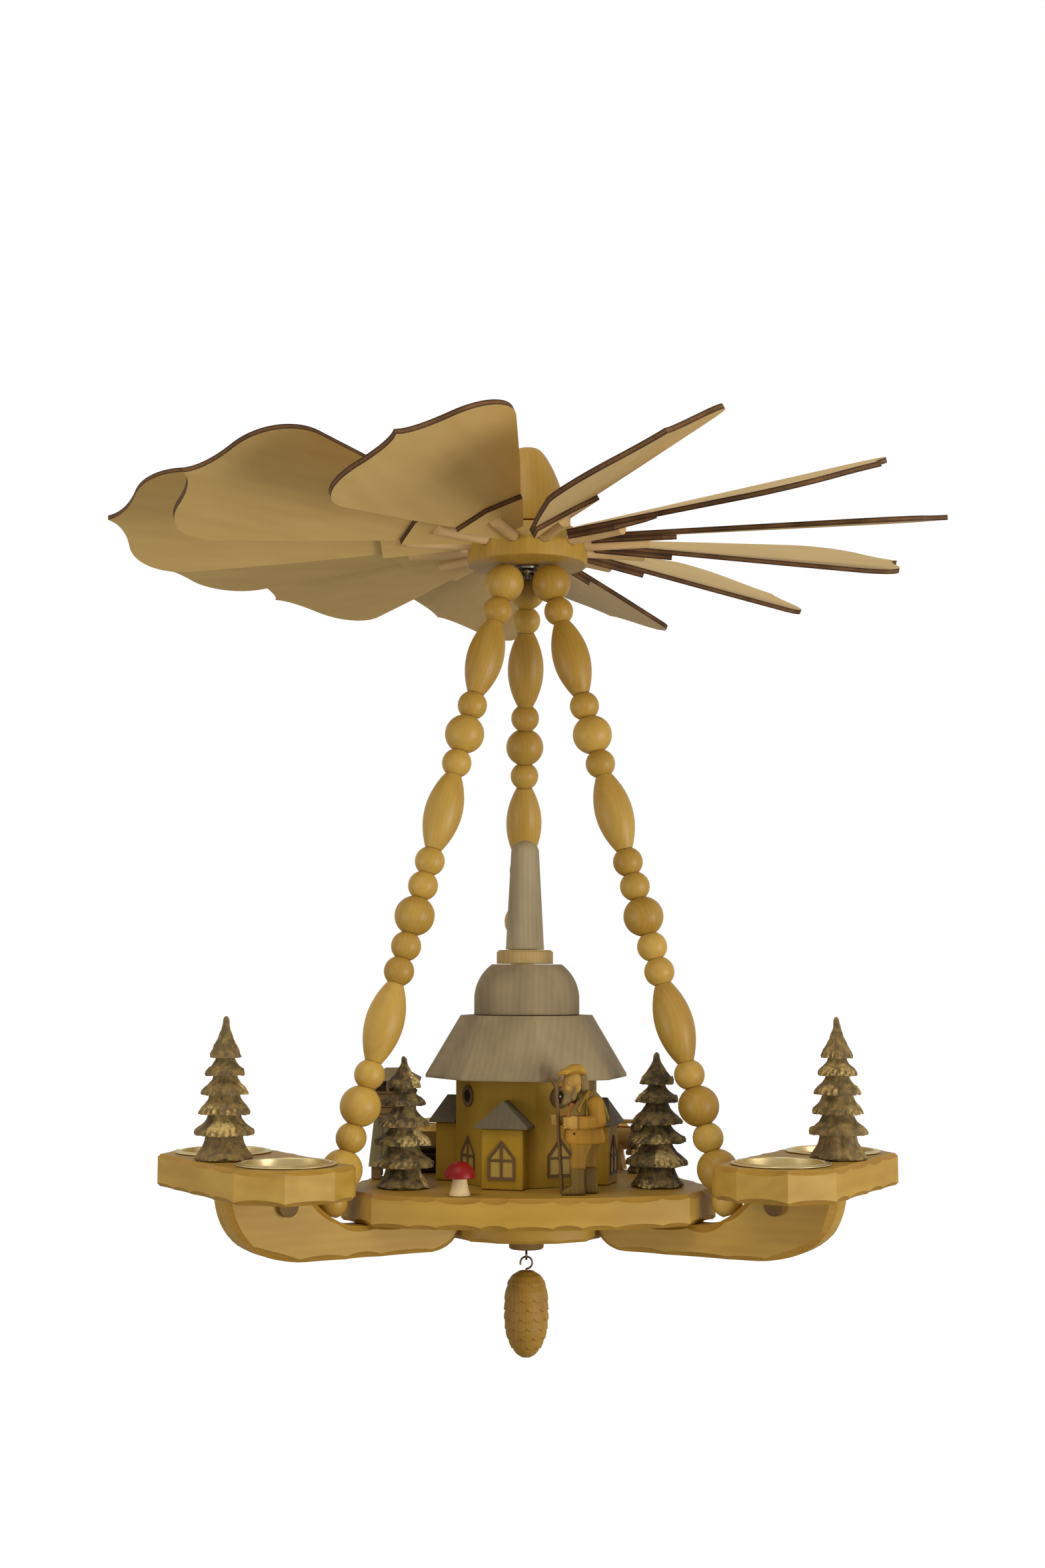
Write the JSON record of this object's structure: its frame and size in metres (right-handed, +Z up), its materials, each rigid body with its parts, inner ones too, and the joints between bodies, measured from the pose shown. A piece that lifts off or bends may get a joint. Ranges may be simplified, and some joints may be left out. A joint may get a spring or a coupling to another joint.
{
  "type": "hanging candle carousel",
  "caption": "Hanging wooden candle carousel with twelve vanes, bead strings, three trays of brass candle cups and a carved church scene.",
  "frame": {"origin": "centre of the suspension bell's top face, where the object hangs", "axes": "+Z up along the spindle, -Y the pictured front, +X the viewer's right"},
  "size_m": [0.4198, 0.4201, 0.4677],
  "materials": {
    "limewood": "clear matt lacquer over pale turned and sawn limewood",
    "beech": "satin lacquer over turned beech",
    "birch_plywood": "matt, thin birch plywood with dark glue lines on its edges",
    "yellow_stained_wood": "matt yellow stain",
    "grey_stained_wood": "matt grey stain with the grain showing",
    "carved_green_brown": "matt, knife-carved and stained green-brown",
    "carved_wood": "matt, knife-carved with brown stain in the cuts",
    "dark_stained_wood": "matt dark brown stain",
    "red_paint": "gloss red paint on a turned cap, bare pale stem",
    "brass": "thin pressed brass, satin",
    "steel": "plain bright steel wire and rod"
  },
  "bodies": {
    "suspension": {"suspension_bell": "limewood", "spindle": "steel", "thrust_washer": "steel", "lock_nut": "steel"},
    "carousel": {"hub": "limewood", "bead_string_back": "beech", "arm_back": "limewood", "tray_back": "limewood", "candle_cup_back_a": "brass", "candle_cup_back_b": "brass", "tray_tree_back": "carved_green_brown", "bead_string_left": "beech", "arm_left": "limewood", "tray_left": "limewood", "candle_cup_left_a": "brass", "candle_cup_left_b": "brass", "tray_tree_left": "carved_green_brown", "bead_string_right": "beech", "arm_right": "limewood", "tray_right": "limewood", "candle_cup_right_a": "brass", "candle_cup_right_b": "brass", "tray_tree_right": "carved_green_brown", "figure_plate": "limewood", "base_block": "limewood", "bottom_cap": "carved_wood", "screw_eye": "steel", "church_body": "yellow_stained_wood", "church_roof": "grey_stained_wood", "church_dome": "grey_stained_wood", "dome_collar": "beech", "spire": "grey_stained_wood", "annex_front": "yellow_stained_wood", "annex_roof_front": "grey_stained_wood", "annex_left": "yellow_stained_wood", "annex_roof_left": "grey_stained_wood", "annex_right": "yellow_stained_wood", "annex_roof_right": "grey_stained_wood", "plate_tree_left": "carved_green_brown", "plate_tree_right": "carved_green_brown", "plate_tree_small": "carved_green_brown", "walker": "carved_wood", "walking_stick": "carved_wood", "toadstool": "red_paint", "deer": "carved_wood", "raised_hide": "dark_stained_wood"},
    "blade_01_body": {"blade_01": "birch_plywood"},
    "blade_02_body": {"blade_02": "birch_plywood"},
    "blade_03_body": {"blade_03": "birch_plywood"},
    "blade_04_body": {"blade_04": "birch_plywood"},
    "blade_05_body": {"blade_05": "birch_plywood"},
    "blade_06_body": {"blade_06": "birch_plywood"},
    "blade_07_body": {"blade_07": "birch_plywood"},
    "blade_08_body": {"blade_08": "birch_plywood"},
    "blade_09_body": {"blade_09": "birch_plywood"},
    "blade_10_body": {"blade_10": "birch_plywood"},
    "blade_11_body": {"blade_11": "birch_plywood"},
    "blade_12_body": {"blade_12": "birch_plywood"},
    "cone_pendant": {"cone_hook": "steel", "pine_cone": "carved_wood"}
  },
  "joints": [
    {"name": "wheel_spin", "type": "hinge", "parent": "suspension", "child": "carousel", "pos_m": [0, 0, -0.0625], "axis": [0, 0, 1], "continuous": true},
    {"name": "blade_pitch_01", "type": "hinge", "parent": "carousel", "child": "blade_01_body", "pos_m": [0, 0, -0.0529], "axis": [0.9694, 0.2453, 0], "range_deg": [-19.9, 25.1]},
    {"name": "blade_pitch_02", "type": "hinge", "parent": "carousel", "child": "blade_02_body", "pos_m": [0, 0, -0.0529], "axis": [0.7169, 0.6972, 0], "range_deg": [-25.5, 19.5]},
    {"name": "blade_pitch_03", "type": "hinge", "parent": "carousel", "child": "blade_03_body", "pos_m": [0, 0, -0.0529], "axis": [0.2723, 0.9622, 0], "range_deg": [-21.4, 23.6]},
    {"name": "blade_pitch_04", "type": "hinge", "parent": "carousel", "child": "blade_04_body", "pos_m": [0, 0, -0.0529], "axis": [-0.2453, 0.9694, 0], "range_deg": [-24.9, 20.1]},
    {"name": "blade_pitch_05", "type": "hinge", "parent": "carousel", "child": "blade_05_body", "pos_m": [0, 0, -0.0529], "axis": [-0.6972, 0.7169, 0], "range_deg": [-14.9, 30.1]},
    {"name": "blade_pitch_06", "type": "hinge", "parent": "carousel", "child": "blade_06_body", "pos_m": [0, 0, -0.0529], "axis": [-0.9622, 0.2723, 0], "range_deg": [-9.3, 35.7]},
    {"name": "blade_pitch_07", "type": "hinge", "parent": "carousel", "child": "blade_07_body", "pos_m": [0, 0, -0.0529], "axis": [-0.9694, -0.2453, 0], "range_deg": [-21.1, 23.9]},
    {"name": "blade_pitch_08", "type": "hinge", "parent": "carousel", "child": "blade_08_body", "pos_m": [0, 0, -0.0529], "axis": [-0.7169, -0.6972, 0], "range_deg": [-23.9, 21.1]},
    {"name": "blade_pitch_09", "type": "hinge", "parent": "carousel", "child": "blade_09_body", "pos_m": [0, 0, -0.0529], "axis": [-0.2723, -0.9622, 0], "range_deg": [-24.2, 20.8]},
    {"name": "blade_pitch_10", "type": "hinge", "parent": "carousel", "child": "blade_10_body", "pos_m": [0, 0, -0.0529], "axis": [0.2453, -0.9694, 0], "range_deg": [-29.8, 15.2]},
    {"name": "blade_pitch_11", "type": "hinge", "parent": "carousel", "child": "blade_11_body", "pos_m": [0, 0, -0.0529], "axis": [0.6972, -0.7169, 0], "range_deg": [-19.7, 25.3]},
    {"name": "blade_pitch_12", "type": "hinge", "parent": "carousel", "child": "blade_12_body", "pos_m": [0, 0, -0.0529], "axis": [0.9622, -0.2723, 0], "range_deg": [-12.5, 32.5]},
    {"name": "cone_swing", "type": "hinge", "parent": "carousel", "child": "cone_pendant", "pos_m": [0, 0, -0.41938], "axis": [0, 1, 0], "range_deg": [-40, 40]}
  ]
}
